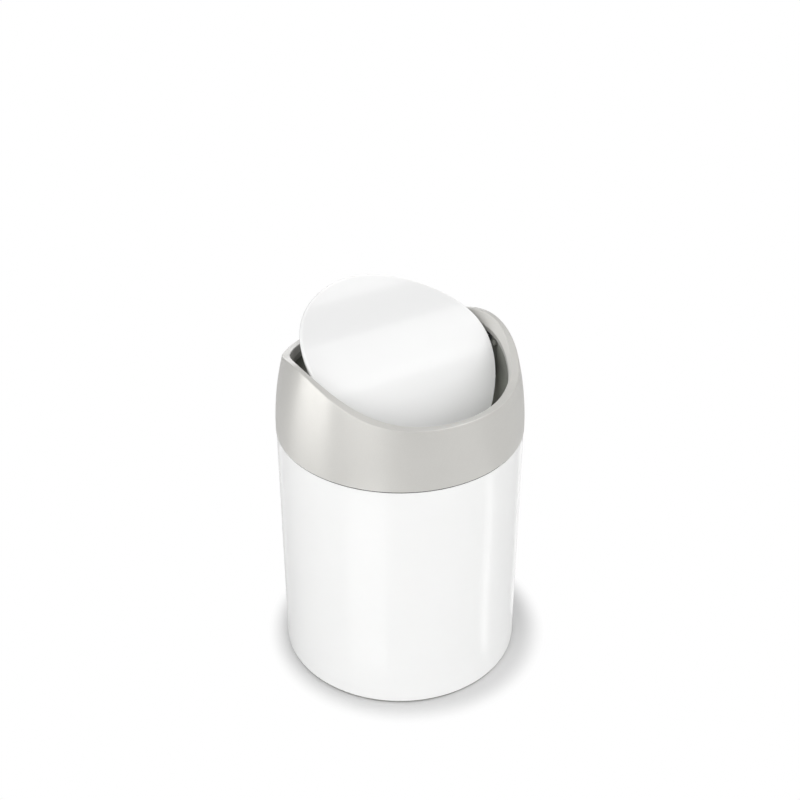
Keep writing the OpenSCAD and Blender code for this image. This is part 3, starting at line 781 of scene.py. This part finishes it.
class CAN_OT_nodes(Operator):
    """Finishes of the frame's own pieces that stay as they are"""
    bl_idname = "can.nodes"
    bl_label = "Frame pieces"
    # Width of each piece's rounded edges in millimetres. Pieces that aren't named keep sharp edges.
    widths = {"collar_sleeve": 0.25, "bearing_left": 0.15, "bearing_right": 0.15, "base_ring": 0.3,
              "flap_tray": 0.25, "counterweight": 0.4, "stud_nuts": 0.15, "foot_pads": 0.2, "bottom_pan": 0.1,
              "collar_screws": 0.25, "bearing_screws": 0.25, "counterweight_screws": 0.25, "skin_studs": 0.2,
              "stop_bumpers": 0.2, "pivot_pin_left": 0.15, "pivot_pin_right": 0.15}

    def execute(self, context):
        rebuilt = {"body_tube", "collar_shell", "flap_skin", "seam_gasket"}
        for node in frame["nodes"]:
            if node not in rebuilt:
                piece = soften(node, self.widths.get(node, 0) * MM)
                dress(piece, "sleeve" if node == "collar_sleeve" else slot_of(node))
        return {"FINISHED"}


class CAN_OT_stage(Operator):
    """Pale floor, even light with soft lamps, and the camera"""
    bl_idname = "can.stage"
    bl_label = "Stage"

    def execute(self, context):
        sizes = context.scene.can_stage
        self.floor(sizes)
        self.world(context, sizes)
        # Name, place (azimuth, elevation, distance), width and height, power in watts
        wash("key", around(-141, 31, 1.8), (1.2, 1.0), 13.0)
        wash("front", around(-116, 32, 1.8), (0.5, 0.5), 1.5)
        wash("high", around(-54, 60, 1.8), (0.7, 0.7), 3.9)
        wash("above", around(-110, 76, 1.8), (0.8, 0.8), 2.3)
        card("key gloss", around(-158, 28, 1.8), (1.4, 1.0), 6.3)
        wash("fill", around(-62, 34, 1.8), (1.2, 1.0), 4.0)
        card("fill gloss", around(-62, 44, 1.8), (1.2, 0.8), 2.6)
        wash("left", around(148, 22, 1.5), (0.6, 0.5), 3.1)
        card("top", (0.8, -0.28, 1.47), (0.5, 1.55), 3.6, (0.8, -0.28, 0))
        card("far", around(62, 6, 1.5), (0.7, 0.5), 2.6)
        wash("right", around(-10, 26, 1.8), (0.9, 0.8), 5.6)
        card("strip", around(156, 9, 1.0), (0.72, 0.5), 2.2)
        # Name, azimuth on the tube's wall, width, power in watts
        streak("streak 1", -196, 0.004, 0.0005)
        streak("streak 2", -137, 0.034, 0.0055)
        streak("streak 3", -77, 0.007, 0.0022)
        streak("streak 4", -45, 0.007, 0.0012)
        camera = bpy.data.objects.new("camera", bpy.data.cameras.new("camera"))
        camera.location = sizes.eye
        heading = math.atan2(-sizes.eye[1], -sizes.eye[0])
        camera.rotation_euler = Euler((math.pi / 2 - sizes.pitch, 0, heading - math.pi / 2), "XYZ")
        camera.data.lens = sizes.lens
        camera.data.sensor_width = 36
        context.scene.collection.objects.link(camera)
        context.scene.camera = camera
        context.scene.view_settings.view_transform = "Standard"
        return {"FINISHED"}

    def floor(self, sizes):
        """Pale paper that keeps the shadow near the can, deepened there by a painted shadow, and fades to plain
        white further out.
        """
        half = sizes.floor / 2
        mesh = bpy.data.meshes.new("floor")
        square = [(-half, -half, 0), (half, -half, 0), (half, half, 0), (-half, half, 0)]
        mesh.from_pydata(square, [], [(0, 1, 2, 3)])
        floor = bpy.data.objects.new("floor", mesh)
        bpy.context.scene.collection.objects.link(floor)
        material = bpy.data.materials.new("floor")
        tree = Tree(material)
        seen = tree.add("ShaderNodeLightPath").names["Is Camera Ray"]
        where = tree.add("ShaderNodeTexCoord").names["Object"]
        away = tree.add("ShaderNodeVectorMath", {"operation": "DISTANCE"},
                        {0: where, 1: sizes.shadow}).names["Value"]
        fade = tree.add("ShaderNodeMapRange", {"clamp": True, "interpolation_type": "SMOOTHSTEP"},
                        {"Value": away, "From Min": sizes.fade_near, "From Max": sizes.fade_far})[0]
        # painted shadow: near the can the camera sees the paper at 0.62 grey, darker than the 0.74 it lights with
        lighting, seen_grey_painted_shadow = (0.74, 0.74, 0.74, 1), (0.62, 0.62, 0.62, 1)  # greys as it lights, and is seen
        shade = tree.add("ShaderNodeMix", {"data_type": "RGBA"}, {"Factor": seen, 6: lighting, 7: seen_grey_painted_shadow})[2]
        paper = tree.add("ShaderNodeBsdfDiffuse", {}, {"Color": shade})
        white = tree.add("ShaderNodeEmission", {}, {"Color": (1, 1, 1, 1), "Strength": 1.0})
        both = tree.add("ShaderNodeMixShader", {}, {0: seen * fade, 1: paper[0], 2: white[0]})
        tree.add("ShaderNodeOutputMaterial", {}, {"Surface": both[0]})
        mesh.materials.append(material)

    def world(self, context, sizes):
        """Even light, a room for surfaces to mirror, and white for the camera."""
        world = bpy.data.worlds.new("studio")
        context.scene.world = world
        tree = Tree(world)
        rays = tree.add("ShaderNodeLightPath").names
        seen = tree.add("ShaderNodeMath", {"operation": "MAXIMUM"},
                        {0: rays["Is Camera Ray"], 1: rays["Is Transmission Ray"]})[0]
        light, room, white = (
            tree.add("ShaderNodeBackground", {}, {"Color": (1, 1, 1, 1), "Strength": strength})[0]
            for strength in (sizes.sky, sizes.room, 1.0))
        mirrored = tree.add("ShaderNodeMixShader", {}, {0: rays["Is Glossy Ray"], 1: light, 2: room})[0]
        mixed = tree.add("ShaderNodeMixShader", {}, {0: seen, 1: mirrored, 2: white})[0]
        tree.add("ShaderNodeOutputWorld", {}, {"Surface": mixed})


class CAN_PT_panel(Panel):
    """Lists the builders of the can's pieces"""
    bl_idname = "CAN_PT_panel"
    bl_label = "Countertop can"
    bl_space_type = "VIEW_3D"
    bl_region_type = "UI"
    bl_category = "Can"

    def draw(self, context):
        for operator in BUILDERS:
            self.layout.operator(operator.bl_idname)


GROUPS = {"can_tube": TubeSizes, "can_collar": CollarSizes, "can_flap": FlapSizes,
          "can_finishes": FinishColours, "can_stage": StageSizes}
BUILDERS = (CAN_OT_tube, CAN_OT_collar, CAN_OT_gasket, CAN_OT_flap, CAN_OT_nodes, CAN_OT_stage)


def register():
    for kind in (*GROUPS.values(), *BUILDERS, CAN_PT_panel):
        bpy.utils.register_class(kind)
    for name, kind in GROUPS.items():
        setattr(bpy.types.Scene, name, PointerProperty(type=kind))


def unregister():
    for name in GROUPS:
        delattr(bpy.types.Scene, name)
    for kind in reversed((*GROUPS.values(), *BUILDERS, CAN_PT_panel)):
        bpy.utils.unregister_class(kind)


def main():
    """Builds the pieces and the stage."""
    register()
    for operator in BUILDERS:
        group, name = operator.bl_idname.split(".")
        getattr(getattr(bpy.ops, group), name)()


if __name__ == "__main__":
    main()
